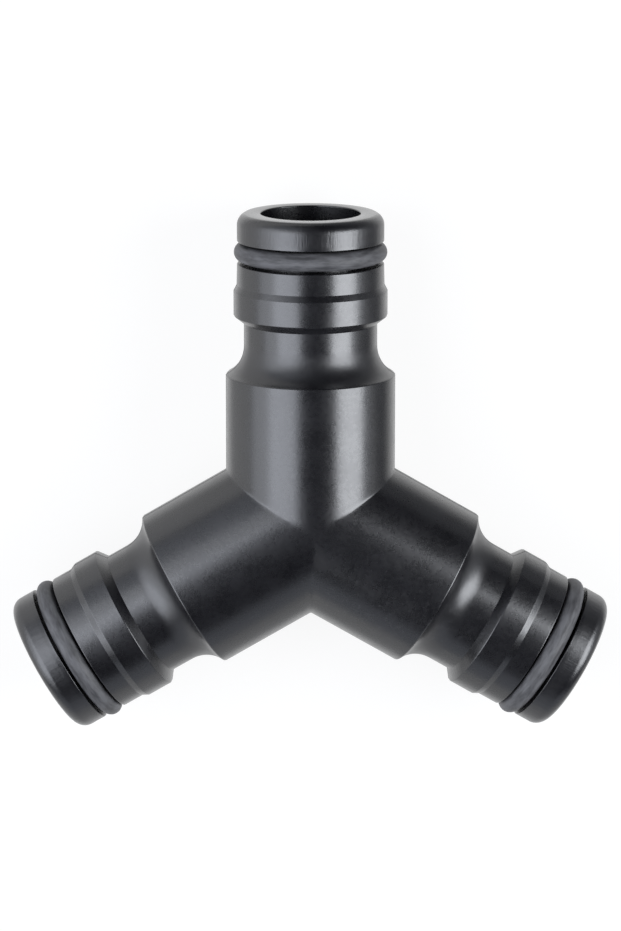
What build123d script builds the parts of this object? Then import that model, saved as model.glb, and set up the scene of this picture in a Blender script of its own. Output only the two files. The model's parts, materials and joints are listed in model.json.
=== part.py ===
from build123d import *
import os

# Three-way connector for click-on hose couplings: one hollow moulding with three equal
# spigots, and a rubber sealing ring in the groove of each spigot.
# The axes of the three arms meet at the origin and lie in the XY plane, the top arm along
# +Y and the others turned from it in equal steps. Sizes are in millimetres, and the
# lengths below follow one arm from the rim of its barrel to its open mouth.

arm_names = ["top", "left", "right"]

# Water way, and the wall that the groove leaves around it
bore_diameter = 11.2
groove_wall = 1.0

# Barrel: the stout root of each arm, and the flare from its rim down to the neck
barrel_diameter = 19.0
barrel_reach = 16.5  # from the middle of the connector to the rim
rim_round = 0.35
flare_length = 3.3

# Neck, where the claws of the coupling close
neck_diameter = 14.9
neck_length = 2.55

# Collar that the claws hold, steep towards the neck and eased towards the mouth
collar_diameter = 17.2
collar_back_length = 0.9
collar_length = 2.8
lead_in_length = 0.7

# Plain spigot on both sides of the groove
spigot_diameter = 16.5
land_length = 2.4
nose_length = 3.1
nose_round = 1.2
edge_break = 0.15

# Sealing ring, stretched onto the floor of its groove
ring_section = 2.05
ring_squeeze = 0.05
ring_side_gap = 0.25

# Radii and reaches that follow from the sizes above
bore_radius = bore_diameter / 2
groove_radius = bore_radius + groove_wall
barrel_radius = barrel_diameter / 2
neck_radius = neck_diameter / 2
collar_radius = collar_diameter / 2
spigot_radius = spigot_diameter / 2

neck_start = barrel_reach + flare_length
neck_end = neck_start + neck_length
collar_start = neck_end + collar_back_length
collar_end = collar_start + collar_length
land_start = collar_end + lead_in_length
groove_start = land_start + land_length
groove_end = groove_start + ring_section + 2 * ring_side_gap
mouth_reach = groove_end + nose_length

arm_turn = 360 / len(arm_names)
root_overrun = barrel_radius / 2  # surplus behind the origin, which the mitre cuts remove

# One arm: a turned profile, radius along X and reach along Y, cut to its share of the
# turn by the two upright mitre planes that it has in common with its neighbours
with BuildPart() as arm:
    with BuildSketch() as arm_profile:
        with BuildLine():
            Polyline(
                (neck_radius, neck_start),
                (neck_radius, neck_end),
                (collar_radius, collar_start),
                (collar_radius, collar_end),
                (spigot_radius, land_start),
                (spigot_radius, groove_start),
                (groove_radius, groove_start),
                (groove_radius, groove_end),
                (spigot_radius, groove_end),
                (spigot_radius, mouth_reach),
                (bore_radius, mouth_reach),
                (bore_radius, -root_overrun),
                (barrel_radius, -root_overrun),
                (barrel_radius, barrel_reach),
            )
            TangentArc(
                (neck_radius, neck_start), (barrel_radius, barrel_reach), tangent=(0, -1)
            )
        make_face()
        for corner, corner_round in {
            (barrel_radius, barrel_reach): rim_round,
            (spigot_radius, mouth_reach): nose_round,
        }.items():
            fillet(arm_profile.vertices().sort_by_distance(corner)[0], corner_round)
        for corner in (
            (collar_radius, collar_start),
            (collar_radius, collar_end),
            (spigot_radius, groove_start),
            (spigot_radius, groove_end),
            (bore_radius, mouth_reach),
        ):
            chamfer(arm_profile.vertices().sort_by_distance(corner)[0], edge_break)
    revolve(axis=Axis.Y)
    for side in (-1, 1):
        # the cut runs up from the origin, half a turn step away from the arm's axis
        mitre_normal = Vector(0, 1, 0).rotate(Axis.Z, side * (90 - arm_turn / 2))
        split(bisect_by=Plane(origin=(0, 0, 0), z_dir=mitre_normal), keep=Keep.TOP)

# Body: the three arms, joined along their mitres into one hollow moulding
with BuildPart() as connector_body:
    with PolarLocations(0, len(arm_names)):
        add(arm.part)

connector_body.part.label = "connector_body"

# Sealing ring: a round section, flat where the floor of the groove presses it
with BuildPart() as seal_ring:
    with BuildSketch():
        ring_centre = (
            groove_radius + ring_section / 2 - ring_squeeze,
            (groove_start + groove_end) / 2,
        )
        with Locations(ring_centre):
            Circle(ring_section / 2)
        with Locations((groove_radius, ring_centre[1])):
            Rectangle(ring_section, ring_section, align=(Align.MAX, Align.CENTER), mode=Mode.SUBTRACT)
    revolve(axis=Axis.Y)

os.makedirs("parts", exist_ok=True)
export_step(connector_body.part, "parts/connector_body.step")

# One ring on each arm
for arm_number, arm_name in enumerate(arm_names):
    with BuildPart() as arm_ring:
        with Locations(Rotation(0, 0, arm_number * arm_turn)):
            add(seal_ring.part)
    arm_ring.part.label = f"seal_ring_{arm_name}"
    export_step(arm_ring.part, f"parts/{arm_ring.part.label}.step")
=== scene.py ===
import json
import math

import bpy
from mathutils import Matrix, Vector

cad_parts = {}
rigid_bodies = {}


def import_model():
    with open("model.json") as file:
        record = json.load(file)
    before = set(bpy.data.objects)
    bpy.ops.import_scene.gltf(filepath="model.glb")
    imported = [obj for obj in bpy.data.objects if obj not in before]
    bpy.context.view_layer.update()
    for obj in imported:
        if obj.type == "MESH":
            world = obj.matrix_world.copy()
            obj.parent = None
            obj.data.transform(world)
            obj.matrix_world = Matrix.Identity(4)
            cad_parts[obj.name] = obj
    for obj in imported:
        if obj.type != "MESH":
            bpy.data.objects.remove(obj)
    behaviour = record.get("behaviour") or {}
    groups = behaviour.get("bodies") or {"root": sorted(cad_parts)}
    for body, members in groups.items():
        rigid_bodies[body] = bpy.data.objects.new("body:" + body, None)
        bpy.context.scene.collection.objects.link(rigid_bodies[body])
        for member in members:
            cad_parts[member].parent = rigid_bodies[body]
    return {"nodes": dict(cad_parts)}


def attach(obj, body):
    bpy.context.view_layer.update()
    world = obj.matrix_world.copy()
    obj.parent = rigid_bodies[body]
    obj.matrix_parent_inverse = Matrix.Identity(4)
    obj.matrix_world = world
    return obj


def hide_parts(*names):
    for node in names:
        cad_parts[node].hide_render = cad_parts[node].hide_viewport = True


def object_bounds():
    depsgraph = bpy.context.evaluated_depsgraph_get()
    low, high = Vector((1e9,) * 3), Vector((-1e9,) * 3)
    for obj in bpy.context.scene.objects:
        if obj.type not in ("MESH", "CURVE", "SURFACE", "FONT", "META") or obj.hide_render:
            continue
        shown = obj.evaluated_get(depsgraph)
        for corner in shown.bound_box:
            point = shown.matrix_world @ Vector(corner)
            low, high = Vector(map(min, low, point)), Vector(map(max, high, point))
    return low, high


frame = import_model()
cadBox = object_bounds()
nodes = frame["nodes"]
millimetre = 0.001  # pieces are modelled in millimetres and brought to metres when they are done
print("frame loaded:", ", ".join(sorted(nodes)))

# degrees that each arm is turned from +Y, about +Z, and the way that it then points
armTurns = {"top": 0.0, "left": 120.0, "right": 240.0}
armAxes = {
    turn: Matrix.Rotation(math.radians(turn), 3, "Z") @ Vector((0, 1, 0)) for turn in armTurns.values()
}

# millimetres within which two places count as one, a cut passes through a point, and points are merged
sameSpot = 0.001
cutThreshold = 0.00001
mergeDistance = 0.0001

# one arm of the moulding, along +Y: reaches are measured from the middle of the connector
bodySizes = {
    "segments": 144,
    "boreRadius": 5.6,
    "barrelRadius": 9.5,
    "neckRadius": 7.45,
    "collarRadius": 8.6,
    "spigotRadius": 8.25,
    "grooveRadius": 6.6,
    "rootReach": -5.7,  # surplus behind the middle, which the mitres cut off
    "rimReach": 16.5,
    "neckStart": 19.8,
    "neckEnd": 22.35,
    "collarStart": 23.25,
    "collarEnd": 26.05,
    "landStart": 26.75,
    "grooveStart": 29.15,
    "grooveEnd": 31.7,
    "mouthReach": 34.8,
    "flareSteps": 14,
    "noseArc": 1.4,
    "noseStart": 20,  # degrees between the open face and the start of the nose's arc
    "noseSteps": 10,
    "rimRound": 0.2,
    "edgeRound": 0.13,
    "turnedEdge": 0.07,
    "roundSteps": 4,
    "mitreStrip": 0.45,
    "creaseRound": 0.16,
    "creaseSteps": 3,
    "creaseAngle": 14,  # shallower creases stay as they are
    "creaseDepth": 0.2,  # how far inside the barrel's surface a crease still counts as outside
    "partingHeight": 0.045,
    "partingHalfWidth": 0.14,
    "partingEnd": 28.75,
}


def selectNothing():
    bpy.ops.object.select_all(action="DESELECT")


def makeOnly(piece):
    selectNothing()
    piece.select_set(True)
    bpy.context.view_layer.objects.active = piece


def clearSelection(piece):
    # in object mode, because only there a selection is written to the mesh
    bpy.ops.object.mode_set(mode="OBJECT")
    for part in (piece.data.polygons, piece.data.edges, piece.data.vertices):
        part.foreach_set("select", [False] * len(part))


def pickVertices(piece, test):
    clearSelection(piece)
    for vertex in piece.data.vertices:
        vertex.select = test(vertex.co)
    bpy.ops.object.mode_set(mode="EDIT")
    bpy.ops.mesh.select_mode(type="VERT")


def pickEdges(piece, test):
    clearSelection(piece)
    for edge in piece.data.edges:
        edge.select = test(edge)
    bpy.ops.object.mode_set(mode="EDIT")
    bpy.ops.mesh.select_mode(type="EDGE")


def flareRings(sizes):
    # arc from the rim in to the neck, which it meets smoothly
    rise = sizes["barrelRadius"] - sizes["neckRadius"]
    run = sizes["neckStart"] - sizes["rimReach"]
    arcRadius = (rise * rise + run * run) / (2 * rise)
    fullTurn = math.asin(run / arcRadius)
    rings = []
    for step in range(1, sizes["flareSteps"]):
        turn = fullTurn * (1 - step / sizes["flareSteps"])
        radius = sizes["neckRadius"] + arcRadius * (1 - math.cos(turn))
        rings.append((radius, sizes["neckStart"] - arcRadius * math.sin(turn)))
    return rings


def noseRings(sizes):
    # arc from the open face out to the spigot: it leaves the face at an angle and ends along the spigot
    rings = []
    for step in range(sizes["noseSteps"] + 1):
        turn = math.radians(sizes["noseStart"] + (90 - sizes["noseStart"]) * step / sizes["noseSteps"])
        radius = sizes["spigotRadius"] - sizes["noseArc"] * (1 - math.sin(turn))
        back = sizes["noseArc"] * (math.cos(math.radians(sizes["noseStart"])) - math.cos(turn))
        rings.append((radius, sizes["mouthReach"] - back))
    return rings


def armRings(sizes):
    # stations of the turned arm as (radius, reach), from the bore's root round the mouth and
    # back along the outside to the barrel's root
    rings = [
        (sizes["boreRadius"], sizes["rootReach"]),
        (sizes["boreRadius"], sizes["mouthReach"]),
    ]
    rings += noseRings(sizes)
    rings += [
        (sizes["spigotRadius"], sizes["grooveEnd"]),
        (sizes["grooveRadius"], sizes["grooveEnd"]),
        (sizes["grooveRadius"], sizes["grooveStart"]),
        (sizes["spigotRadius"], sizes["grooveStart"]),
        (sizes["spigotRadius"], sizes["landStart"]),
        (sizes["collarRadius"], sizes["collarEnd"]),
        (sizes["collarRadius"], sizes["collarStart"]),
        (sizes["neckRadius"], sizes["neckEnd"]),
        (sizes["neckRadius"], sizes["neckStart"]),
    ]
    rings += flareRings(sizes)[::-1]
    rings += [
        (sizes["barrelRadius"], sizes["rimReach"]),
        (sizes["barrelRadius"], sizes["rootReach"]),
    ]
    return rings


def roundRing(piece, ring, before, after, radius, steps):
    # bevels the edge loop at one station, to the width that gives the corner this radius
    inward = (Vector(before) - Vector(ring)).normalized()
    onward = (Vector(after) - Vector(ring)).normalized()
    halfCorner = math.acos(max(-1, min(1, inward.dot(onward)))) / 2
    width = radius / math.tan(halfCorner)

    def onRing(point):
        sameRadius = abs(math.hypot(point.x, point.z) - ring[0]) < sameSpot
        return sameRadius and abs(point.y - ring[1]) < sameSpot

    points = piece.data.vertices
    pickEdges(piece, lambda edge: all(onRing(points[index].co) for index in edge.vertices))
    bpy.ops.mesh.bevel(offset_type="OFFSET", offset=width, segments=steps, profile=0.5)


def makeArm(sizes):
    rings = armRings(sizes)
    selectNothing()
    bpy.ops.mesh.primitive_circle_add(
        vertices=sizes["segments"],
        radius=rings[0][0],
        location=(0, rings[0][1], 0),
        rotation=(math.radians(90), 0, 0),
    )
    arm = bpy.context.active_object
    bpy.ops.object.transform_apply(location=True, rotation=True, scale=True)
    bpy.ops.object.mode_set(mode="EDIT")
    bpy.ops.mesh.select_all(action="SELECT")
    for (radius, reach), (nextRadius, nextReach) in zip(rings, rings[1:]):
        bpy.ops.mesh.extrude_edges_move(TRANSFORM_OT_translate={"value": (0, nextReach - reach, 0)})
        grow = nextRadius / radius
        bpy.ops.transform.resize(value=(grow, 1, grow), center_override=(0, nextReach, 0))

    # the outer edges are rounded a little, and less where the nose is turned after moulding
    corners = {
        (sizes["boreRadius"], sizes["mouthReach"]): sizes["edgeRound"],
        (sizes["spigotRadius"], sizes["grooveEnd"]): sizes["turnedEdge"],
        (sizes["spigotRadius"], sizes["grooveStart"]): sizes["edgeRound"],
        (sizes["spigotRadius"], sizes["landStart"]): sizes["edgeRound"],
        (sizes["collarRadius"], sizes["collarEnd"]): sizes["edgeRound"],
        (sizes["collarRadius"], sizes["collarStart"]): sizes["edgeRound"],
        (sizes["barrelRadius"], sizes["rimReach"]): sizes["rimRound"],
    }
    for corner, radius in corners.items():
        place = rings.index(corner)
        roundRing(arm, rings[place], rings[place - 1], rings[place + 1], radius, sizes["roundSteps"])

    for side in (-1, 1):
        # a narrow strip beside each mitre keeps the shading of the crease off the long barrel faces
        mitreTurn = math.radians(side * (90 - armTurns["left"] / 2))
        normal = Vector((math.sin(mitreTurn), math.cos(mitreTurn), 0))
        bpy.ops.mesh.select_all(action="SELECT")
        beside = normal * sizes["mitreStrip"]
        bpy.ops.mesh.bisect(plane_co=beside, plane_no=normal, threshold=cutThreshold)
        bpy.ops.mesh.select_all(action="SELECT")
        bpy.ops.mesh.bisect(
            plane_co=(0, 0, 0), plane_no=normal, clear_inner=True, threshold=cutThreshold
        )
    bpy.ops.mesh.select_all(action="SELECT")
    bpy.ops.mesh.normals_make_consistent(inside=False)
    bpy.ops.object.mode_set(mode="OBJECT")
    return arm


def armPlace(point):
    # reach and radius of a point, in the arm that it belongs to
    places = []
    for axis in armAxes.values():
        reach = point.dot(axis)
        places.append((reach, (point - axis * reach).length))
    return max(places)


def onMitre(point):
    # on a mitre plane the reach is half the distance from the Z axis
    return abs(armPlace(point)[0] - math.hypot(point.x, point.y) / 2) < sameSpot


def roundCreases(piece, sizes):
    # the valleys where the barrels meet, as far as they are deep enough to hold a round
    bpy.ops.object.mode_set(mode="OBJECT")
    piece.data.update()
    facesOf = {}
    for face in piece.data.polygons:
        for key in face.edge_keys:
            facesOf.setdefault(key, []).append(face.normal)
    outside = sizes["barrelRadius"] - sizes["creaseDepth"]
    sharpKeys = set()
    for key, normals in facesOf.items():
        ends = [piece.data.vertices[index].co for index in key]
        inCrease = all(onMitre(point) and armPlace(point)[1] > outside for point in ends)
        deep = len(normals) == 2 and normals[0].angle(normals[1]) > math.radians(sizes["creaseAngle"])
        if inCrease and deep:
            sharpKeys.add(key)
    pickEdges(piece, lambda edge: edge.key in sharpKeys)
    bpy.ops.mesh.bevel(
        offset_type="OFFSET",
        offset=sizes["creaseRound"],
        segments=sizes["creaseSteps"],
        profile=0.5,
    )
    bpy.ops.object.mode_set(mode="OBJECT")
    print("creases rounded:", len(sharpKeys))


def raisePartingLine(piece, sizes):
    # the mould parts in the plane of the axes and leaves a fine raised line, except on the turned noses
    makeOnly(piece)
    bpy.ops.object.mode_set(mode="EDIT")
    for height in (-sizes["partingHalfWidth"], sizes["partingHalfWidth"]):
        bpy.ops.mesh.select_all(action="SELECT")
        bpy.ops.mesh.bisect(plane_co=(0, 0, height), plane_no=(0, 0, 1), threshold=cutThreshold)

    middleOfWall = (sizes["boreRadius"] + sizes["neckRadius"]) / 2

    def onLine(point):
        if abs(point.z) > sameSpot:
            return False
        reach, radius = armPlace(point)
        return radius > middleOfWall and reach < sizes["partingEnd"]

    pickVertices(piece, onLine)
    bpy.ops.transform.shrink_fatten(value=sizes["partingHeight"])
    bpy.ops.object.mode_set(mode="OBJECT")
    print("parting line raised")


def addArmSpace(piece):
    # every face corner keeps its place in its own arm's space, with the arm laid along Y
    space = piece.data.attributes.new("arm_space", "FLOAT_VECTOR", "CORNER")
    for face in piece.data.polygons:
        turn = max(armAxes, key=lambda angle: face.center.dot(armAxes[angle]))
        back = Matrix.Rotation(math.radians(-turn), 3, "Z")
        for corner in face.loop_indices:
            point = piece.data.vertices[piece.data.loops[corner].vertex_index].co
            space.data[corner].vector = back @ point


# degrees up to which an edge is shaded smooth, and how far large faces rule the shading
shading = {"smoothAngle": 40, "weight": 60}


def finishPiece(piece, name, material):
    makeOnly(piece)
    addArmSpace(piece)
    piece.data.transform(Matrix.Scale(millimetre, 4))
    bpy.ops.object.shade_smooth_by_angle(angle=math.radians(shading["smoothAngle"]))
    weighted = piece.modifiers.new("weighted_normals", "WEIGHTED_NORMAL")
    weighted.keep_sharp = True
    weighted.weight = shading["weight"]
    bpy.ops.object.modifier_apply(modifier=weighted.name)
    piece.name = name
    piece.data.name = name
    piece.data.materials.clear()
    piece.data.materials.append(material)
    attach(piece, "root")


def makeBody(sizes, material):
    arms = [makeArm(sizes)]
    for turn in list(armTurns.values())[1:]:
        makeOnly(arms[0])
        bpy.ops.object.duplicate()
        copy = bpy.context.active_object
        copy.data.transform(Matrix.Rotation(math.radians(turn), 4, "Z"))
        arms.append(copy)
    selectNothing()
    for arm in arms:
        arm.select_set(True)
    bpy.context.view_layer.objects.active = arms[0]
    bpy.ops.object.join()
    body = bpy.context.active_object
    bpy.ops.object.mode_set(mode="EDIT")
    bpy.ops.mesh.select_all(action="SELECT")
    bpy.ops.mesh.remove_doubles(threshold=mergeDistance)
    bpy.ops.mesh.normals_make_consistent(inside=False)
    bpy.ops.object.mode_set(mode="OBJECT")
    roundCreases(body, sizes)
    raisePartingLine(body, sizes)
    finishPiece(body, "moulded_body", material)
    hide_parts("connector_body")
    print("moulded body:", len(body.data.vertices), "vertices")


# sealing ring, pressed onto the floor of its groove
ringSizes = {"section": 2.05, "squeeze": 0.05, "turns": 144, "sides": 40}


def makeRing(armName, body, ring, material):
    centreRadius = body["grooveRadius"] + ring["section"] / 2 - ring["squeeze"]
    reach = (body["grooveStart"] + body["grooveEnd"]) / 2
    selectNothing()
    bpy.ops.mesh.primitive_torus_add(
        major_radius=centreRadius,
        minor_radius=ring["section"] / 2,
        major_segments=ring["turns"],
        minor_segments=ring["sides"],
        location=(0, reach, 0),
        rotation=(math.radians(90), 0, 0),
    )
    seal = bpy.context.active_object
    bpy.ops.object.transform_apply(location=True, rotation=True, scale=True)
    # the inner side is pressed flat on the floor of the groove
    innerRadii = set()
    for vertex in seal.data.vertices:
        radius = math.hypot(vertex.co.x, vertex.co.z)
        if radius < body["grooveRadius"] - sameSpot:
            innerRadii.add(round(radius, 3))
    for radius in sorted(innerRadii):
        pickVertices(seal, lambda point: abs(math.hypot(point.x, point.z) - radius) < 2 * sameSpot)
        grow = body["grooveRadius"] / radius
        bpy.ops.transform.resize(value=(grow, 1, grow), center_override=(0, reach, 0))
    bpy.ops.object.mode_set(mode="OBJECT")
    seal.data.transform(Matrix.Rotation(math.radians(armTurns[armName]), 4, "Z"))
    finishPiece(seal, "rubber_ring_" + armName, material)
    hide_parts("seal_ring_" + armName)
    print("rubber ring:", armName)


def newMaterial(name):
    material = bpy.data.materials.new(name)
    material.use_nodes = True
    tree = material.node_tree
    tree.nodes.clear()
    output = tree.nodes.new("ShaderNodeOutputMaterial")
    shader = tree.nodes.new("ShaderNodeBsdfPrincipled")
    tree.links.new(shader.outputs["BSDF"], output.inputs["Surface"])
    return material, tree, shader


def stretched(tree, vector, scale):
    mapping = tree.nodes.new("ShaderNodeMapping")
    mapping.inputs["Scale"].default_value = scale
    tree.links.new(vector, mapping.inputs["Vector"])
    return mapping.outputs["Vector"]


def objectSpace(tree, scale):
    coordinates = tree.nodes.new("ShaderNodeTexCoord")
    return stretched(tree, coordinates.outputs["Object"], (scale, scale, scale))


def armSpace(tree):
    # each arm laid along Y in millimetres, so that a pattern follows the arm it is on
    place = tree.nodes.new("ShaderNodeAttribute")
    place.attribute_name = "arm_space"
    return place.outputs["Vector"]


def separate(tree, vector):
    node = tree.nodes.new("ShaderNodeSeparateXYZ")
    tree.links.new(vector, node.inputs["Vector"])
    return node.outputs


def measure(tree, operation, vector, other=None):
    # LENGTH of a vector, or DISTANCE or DOT_PRODUCT with a fixed other one
    node = tree.nodes.new("ShaderNodeVectorMath")
    node.operation = operation
    tree.links.new(vector, node.inputs[0])
    if other is not None:
        node.inputs[1].default_value = other
    return node.outputs["Value"]


def noise(tree, vector, scale, detail, roughness, distortion=0.0):
    texture = tree.nodes.new("ShaderNodeTexNoise")
    texture.inputs["Scale"].default_value = scale
    texture.inputs["Detail"].default_value = detail
    texture.inputs["Roughness"].default_value = roughness
    texture.inputs["Distortion"].default_value = distortion
    tree.links.new(vector, texture.inputs["Vector"])
    return texture.outputs["Fac"]


def remap(tree, value, span, target):
    node = tree.nodes.new("ShaderNodeMapRange")
    node.inputs["From Min"].default_value, node.inputs["From Max"].default_value = span
    node.inputs["To Min"].default_value, node.inputs["To Max"].default_value = target
    tree.links.new(value, node.inputs["Value"])
    return node.outputs["Result"]


def blend(tree, operation, first, *others):
    # one math node for each further value, each taking in the result so far
    for other in others:
        node = tree.nodes.new("ShaderNodeMath")
        node.operation = operation
        for socket, value in zip(node.inputs, (first, other)):
            if isinstance(value, (int, float)):
                socket.default_value = value
            else:
                tree.links.new(value, socket)
        first = node.outputs["Value"]
    return first


def colourRamp(tree, value, span, colours):
    node = tree.nodes.new("ShaderNodeValToRGB")
    for element, position, colour in zip(node.color_ramp.elements, span, colours):
        element.position = position
        element.color = colour
    tree.links.new(value, node.inputs["Fac"])
    return node.outputs["Color"]


def mixColours(tree, factor, colour, other):
    node = tree.nodes.new("ShaderNodeMix")
    node.data_type = "RGBA"
    sockets = {socket.identifier: socket for socket in node.inputs}
    tree.links.new(factor, sockets["Factor_Float"])
    tree.links.new(colour, sockets["A_Color"])
    sockets["B_Color"].default_value = other
    return next(socket for socket in node.outputs if socket.identifier == "Result_Color")


def addBump(tree, height, distance, normal=None, strength=1.0):
    bump = tree.nodes.new("ShaderNodeBump")
    bump.inputs["Strength"].default_value = strength
    bump.inputs["Distance"].default_value = distance
    tree.links.new(height, bump.inputs["Height"])
    if normal is not None:
        tree.links.new(normal, bump.inputs["Normal"])
    return bump.outputs["Normal"]


# satin black plastic: reaches and radii in millimetres and bump heights in metres, and each noise
# as its waves per millimetre, detail and roughness
mouldingLook = {
    "dark": (0.0046, 0.0044, 0.0060, 1),
    "light": (0.0072, 0.0070, 0.0090, 1),
    "toneSpan": (0.35, 0.7),
    "index": 1.6,
    "specular": 1.0,
    "smooth": 0.245,
    "rough": 0.31,
    "satinSpan": (0.35, 0.65),
    "cloud": (0.35, 3, 0.5),
    "mottle": (2.1, 2, 0.55),
    "mottleHeight": 0.000007,
    "grain": (6.0, 3, 0.6),
    "grainHeight": 0.0000026,
    "flareStart": (16.6, 17.2),
    "flareEnd": (19.4, 20.2),
    "flareRougher": 0.08,
    "noseReach": (31.85, 32.3),
    "noseRadius": (7.5, 8.1),
    "noseRougher": 0.035,
    "streakStretch": (4.4, 0.45, 4.4),
    "streaks": (1.0, 3, 0.6),
    "streakHeight": 0.000022,
    "faceReach": (34.6, 34.78),
    "faceSmoother": 0.14,
}

# fine curved rub marks, thickest around one place on the front of the right arm
rubMarks = {
    "colour": (0.05, 0.05, 0.052, 1),
    "strength": 0.75,
    "place": (8.8, -10.0, 7.0),
    "spread": (3, 13),
    "elsewhere": 0.08,
    "curls": (0.9, 3, 0.7, 1.4),
    "width": 0.026,
    "patches": (1.3, 2, 0.5),
    "patchSpan": (0.5, 0.62),
}


def addRubMarks(tree, mm, tone, marks):
    # a mark runs wherever the curling noise passes through its middle value
    curls = noise(tree, mm, *marks["curls"])
    offMiddle = blend(tree, "ABSOLUTE", blend(tree, "SUBTRACT", curls, 0.5), 0)
    thin = remap(tree, offMiddle, (0.0, marks["width"]), (1, 0))
    patches = remap(tree, noise(tree, mm, *marks["patches"]), marks["patchSpan"], (0, 1))
    away = measure(tree, "DISTANCE", mm, marks["place"])
    near = remap(tree, away, marks["spread"], (1, marks["elsewhere"]))
    amount = blend(tree, "MULTIPLY", thin, patches, near, marks["strength"])
    return mixColours(tree, amount, tone, marks["colour"])


def makeMoulding(look):
    material, tree, shader = newMaterial("satin_black_moulding")
    mm = objectSpace(tree, 1 / millimetre)
    along = armSpace(tree)
    reach = separate(tree, along)["Y"]
    radius = measure(tree, "LENGTH", stretched(tree, along, (1, 0, 1)))
    cloud = noise(tree, mm, *look["cloud"])
    mottle = noise(tree, mm, *look["mottle"])
    grain = noise(tree, mm, *look["grain"])

    tone = colourRamp(tree, cloud, look["toneSpan"], (look["dark"], look["light"]))
    tree.links.new(addRubMarks(tree, mm, tone, rubMarks), shader.inputs["Base Color"])

    # the noses, turned after moulding, and the flares are duller, and the flat mouths are smoother
    onNose = blend(
        tree,
        "MULTIPLY",
        remap(tree, reach, look["noseReach"], (0, 1)),
        remap(tree, radius, look["noseRadius"], (0, 1)),
    )
    onFlare = blend(
        tree,
        "MULTIPLY",
        remap(tree, reach, look["flareStart"], (0, 1)),
        remap(tree, reach, look["flareEnd"], (1, 0)),
    )
    onFace = remap(tree, reach, look["faceReach"], (0, 1))
    uneven = blend(tree, "MULTIPLY", blend(tree, "ADD", cloud, mottle), 0.5)
    satin = blend(
        tree,
        "ADD",
        remap(tree, uneven, look["satinSpan"], (look["smooth"], look["rough"])),
        blend(tree, "MULTIPLY", onNose, look["noseRougher"]),
        blend(tree, "MULTIPLY", onFlare, look["flareRougher"]),
        blend(tree, "MULTIPLY", onFace, -look["faceSmoother"]),
    )
    tree.links.new(satin, shader.inputs["Roughness"])
    shader.inputs["IOR"].default_value = look["index"]
    shader.inputs["Specular IOR Level"].default_value = look["specular"]

    streaks = noise(tree, stretched(tree, along, look["streakStretch"]), *look["streaks"])
    fine = addBump(tree, grain, look["grainHeight"])
    broad = addBump(tree, mottle, look["mottleHeight"], fine)
    brushed = addBump(tree, blend(tree, "MULTIPLY", streaks, onNose), look["streakHeight"], broad)
    tree.links.new(brushed, shader.inputs["Normal"])
    return material


# rubber with faint flow lines that run round the ring, and the same kinds of values
sealLook = {
    "dark": (0.06, 0.06, 0.063, 1),
    "light": (0.155, 0.155, 0.162, 1),
    "toneSpan": (0.36, 0.62),
    "smooth": 0.42,
    "rough": 0.6,
    "satinSpan": (0.3, 0.7),
    "flowStretch": (0.35, 1.6, 0.35),
    "flow": (1.0, 3, 0.6),
    "flowHeight": 0.00012,
    "flowStrength": 0.25,
    "grain": (6.0, 3, 0.6),
    "grainHeight": 0.00003,
    "grainStrength": 0.3,
}


def makeSealRubber(look):
    material, tree, shader = newMaterial("seal_rubber")
    flow = noise(tree, stretched(tree, armSpace(tree), look["flowStretch"]), *look["flow"])
    grain = noise(tree, objectSpace(tree, 1 / millimetre), *look["grain"])
    tone = colourRamp(tree, flow, look["toneSpan"], (look["dark"], look["light"]))
    tree.links.new(tone, shader.inputs["Base Color"])
    satin = remap(tree, flow, look["satinSpan"], (look["smooth"], look["rough"]))
    tree.links.new(satin, shader.inputs["Roughness"])
    fine = addBump(tree, grain, look["grainHeight"], strength=look["grainStrength"])
    broad = addBump(tree, flow, look["flowHeight"], fine, look["flowStrength"])
    tree.links.new(broad, shader.inputs["Normal"])
    return material


moulding = makeMoulding(mouldingLook)
sealRubber = makeSealRubber(sealLook)
makeBody(bodySizes, moulding)
for armName in armTurns:
    makeRing(armName, bodySizes, ringSizes, sealRubber)
# the plain solids behind the pieces get the same finishes
for name, node in nodes.items():
    node.data.materials.clear()
    node.data.materials.append(sealRubber if name.startswith("seal_ring") else moulding)
print("pieces made and finishes assigned")

# place in millimetres, turn in degrees, and a focal length in pixels of the frame's long side
camera = {
    "place": (-9.8, 106.7, 466.9),
    "turn": (-12.179, -1.198, 0.019),
    "focalPixels": 4220.2,
    "framePixels": 931,
    "sensor": 36.0,
}


def addCamera(values):
    data = bpy.data.cameras.new("camera")
    data.sensor_fit = "AUTO"
    data.sensor_width = values["sensor"]
    data.lens = values["sensor"] * values["focalPixels"] / values["framePixels"]
    viewer = bpy.data.objects.new("camera", data)
    viewer.location = Vector(values["place"]) * millimetre
    viewer.rotation_euler = [math.radians(angle) for angle in values["turn"]]
    bpy.context.scene.collection.objects.link(viewer)
    bpy.context.scene.camera = viewer


# lengths in metres: a span of places or distances is where a glow begins and where it ends
floorLook = {
    "size": 6.0,
    "colour": (0.14, 0.14, 0.14, 1),
    "roughness": 0.9,
    "glow": 0.88,
    "glowSpan": (0.07, 0.3),
    "steepSpan": (0.18, 0.5),
    "leftSpan": (0.02, -0.03),
    "leftGlow": 0.62,
    "frontSpan": (-0.01, -0.04),
    "frontGlow": 0.5,
    "nearSteepSpan": (0.3, 0.6),
    "nearFrontSpan": (-0.005, -0.02),
}


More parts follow.
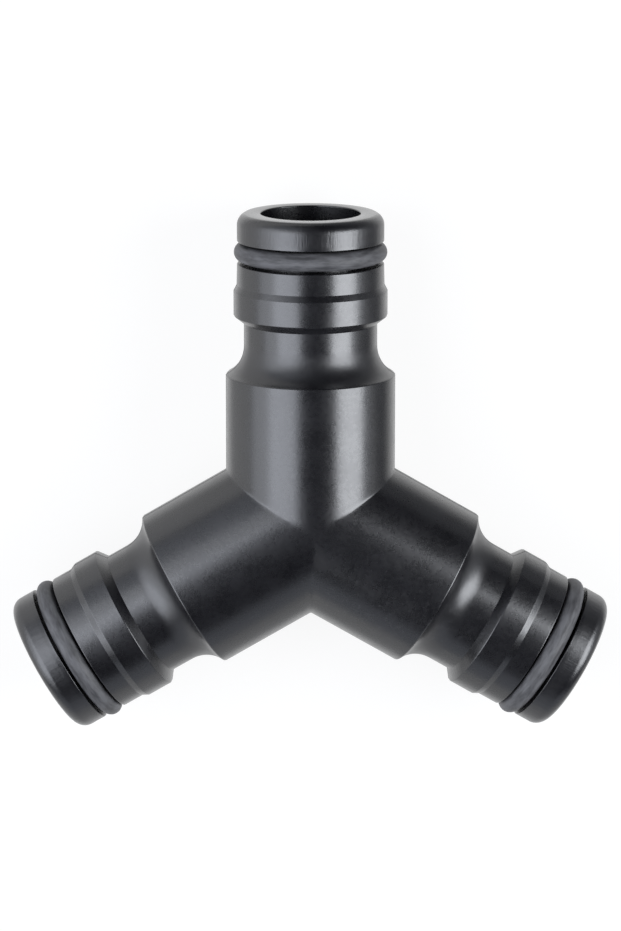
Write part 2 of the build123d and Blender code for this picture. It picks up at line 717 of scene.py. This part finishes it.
def addFloor(values, level):
    selectNothing()
    bpy.ops.mesh.primitive_plane_add(size=values["size"], location=(0, 0, level))
    floor = bpy.context.active_object
    floor.name = "floor"
    material, tree, shader = newMaterial("pale_floor")
    shader.inputs["Base Color"].default_value = values["colour"]
    shader.inputs["Roughness"].default_value = values["roughness"]

    # reflections see the whole glow where they meet the floor steeply, and part of it left and in front
    place = objectSpace(tree, 1)
    side = separate(tree, place)
    facing = tree.nodes.new("ShaderNodeLayerWeight").outputs["Facing"]
    reflected = blend(
        tree,
        "MAXIMUM",
        remap(tree, facing, values["steepSpan"], (1, 0)),
        remap(tree, side["X"], values["leftSpan"], (0, values["leftGlow"])),
        remap(tree, side["Y"], values["frontSpan"], (0, values["frontGlow"])),
        blend(
            tree,
            "MULTIPLY",
            remap(tree, facing, values["nearSteepSpan"], (1, 0)),
            remap(tree, side["Y"], values["nearFrontSpan"], (0, 1)),
        ),
    )
    rays = tree.nodes.new("ShaderNodeLightPath").outputs
    shown = blend(
        tree,
        "MAXIMUM",
        rays["Is Camera Ray"],
        rays["Is Transmission Ray"],
        blend(tree, "MULTIPLY", rays["Is Glossy Ray"], reflected),
    )
    # the lamps and the glow make up a full white, and away from the lamps the glow alone does
    strength = remap(tree, measure(tree, "LENGTH", place), values["glowSpan"], (values["glow"], 1))
    glow = tree.nodes.new("ShaderNodeEmission")
    tree.links.new(blend(tree, "MULTIPLY", shown, strength), glow.inputs["Strength"])
    both = tree.nodes.new("ShaderNodeAddShader")
    tree.links.new(shader.outputs["BSDF"], both.inputs[0])
    tree.links.new(glow.outputs["Emission"], both.inputs[1])
    output = next(node for node in tree.nodes if node.type == "OUTPUT_MATERIAL")
    tree.links.new(both.outputs["Shader"], output.inputs["Surface"])
    material.cycles.emission_sampling = "NONE"  # the glow is only seen, it lights nothing
    floor.data.materials.append(material)


# faint light of the room beyond the lamps: a span is how far a direction leans along X, along Y or
# towards farLeft, where that glow begins and where it is full
roomLook = {
    "colour": (0.84, 0.89, 1, 1),
    "leftSpan": (-0.6, -0.95),
    "leftGlow": 0.38,
    "frontSpan": (-0.78, -0.84),
    "frontGlow": 0.45,
    "farLeft": (-0.57, 0.70, 0.43),
    "farLeftSpan": (0.86, 0.96),
    "farLeftGlow": 0.5,
    "overheadBack": (0.6, 0.2),
    "overheadFront": (-0.42, -0.24),
    "overheadGlow": (0.01, 0.055),
}


def addWorld(values):
    world = bpy.data.worlds.new("studio")
    world.use_nodes = True
    tree = world.node_tree
    tree.nodes.clear()
    direction = tree.nodes.new("ShaderNodeTexCoord").outputs["Generated"]
    side = separate(tree, direction)
    towards = measure(tree, "DOT_PRODUCT", direction, values["farLeft"])
    strength = blend(
        tree,
        "ADD",
        remap(tree, side["X"], values["leftSpan"], (0, values["leftGlow"])),
        remap(tree, side["Y"], values["frontSpan"], (0, values["frontGlow"])),
        remap(tree, towards, values["farLeftSpan"], (0, values["farLeftGlow"])),
        blend(
            tree,
            "MINIMUM",
            remap(tree, side["Y"], values["overheadBack"], values["overheadGlow"]),
            remap(tree, side["Y"], values["overheadFront"], values["overheadGlow"]),
        ),
    )
    around = tree.nodes.new("ShaderNodeBackground")
    around.inputs["Color"].default_value = values["colour"]
    tree.links.new(strength, around.inputs["Strength"])
    # the camera sees plain white instead
    white = tree.nodes.new("ShaderNodeBackground")
    white.inputs["Color"].default_value = (1, 1, 1, 1)
    rays = tree.nodes.new("ShaderNodeLightPath").outputs
    mix = tree.nodes.new("ShaderNodeMixShader")
    tree.links.new(rays["Is Camera Ray"], mix.inputs["Fac"])
    tree.links.new(around.outputs["Background"], mix.inputs[1])
    tree.links.new(white.outputs["Background"], mix.inputs[2])
    output = tree.nodes.new("ShaderNodeOutputWorld")
    tree.links.new(mix.outputs["Shader"], output.inputs["Surface"])
    bpy.context.scene.world = world


# each lamp's centre in degrees from straight up, towards +X and +Y, and the degrees that it spans
# across and along, as seen from the middle of the connector, with all at one distance in metres
lampDistance = 0.26
lamps = {
    "left_softbox": {
        "centre": (-39, -2),
        "spread": (40, 50),
        "radiance": 1.65,
        "colour": (0.84, 0.885, 1.0),
    },
    "left_bounce": {
        "centre": (-52, -2),
        "spread": (68, 78),
        "radiance": 1.18,
        "colour": (0.92, 0.945, 1.0),
    },
    "right_softbox": {
        "centre": (54, 3),
        "spread": (38, 44),
        "radiance": 4.6,
        "colour": (0.93, 0.955, 1.0),
    },
    "right_bounce": {
        "centre": (60, 4),
        "spread": (56, 52),
        "radiance": 0.55,
        "colour": (0.88, 0.92, 1.0),
    },
}


def addLamp(name, values):
    across, along = (math.radians(angle) for angle in values["centre"])
    tilt = math.hypot(across, along)
    lean = math.sin(tilt) / tilt
    direction = Vector((across * lean, along * lean, math.cos(tilt)))
    width, length = (2 * lampDistance * math.tan(math.radians(angle) / 2) for angle in values["spread"])
    data = bpy.data.lights.new(name, "AREA")
    data.shape = "RECTANGLE"
    data.size, data.size_y = width, length
    data.energy = math.pi * values["radiance"] * width * length  # watts that give this radiance
    data.color = values["colour"]
    lamp = bpy.data.objects.new(name, data)
    lamp.location = direction * lampDistance
    # it faces the middle, with its length along Y
    side = Vector((0, 1, 0)).cross(direction).normalized()
    lamp.rotation_euler = Matrix((side, direction.cross(side), direction)).transposed().to_euler()
    lamp.visible_camera = False
    bpy.context.scene.collection.objects.link(lamp)


addCamera(camera)
addFloor(floorLook, cadBox[0].z)
addWorld(roomLook)
for name, values in lamps.items():
    addLamp(name, values)
bpy.context.scene.view_settings.view_transform = "Standard"
print("camera, floor and lamps placed")
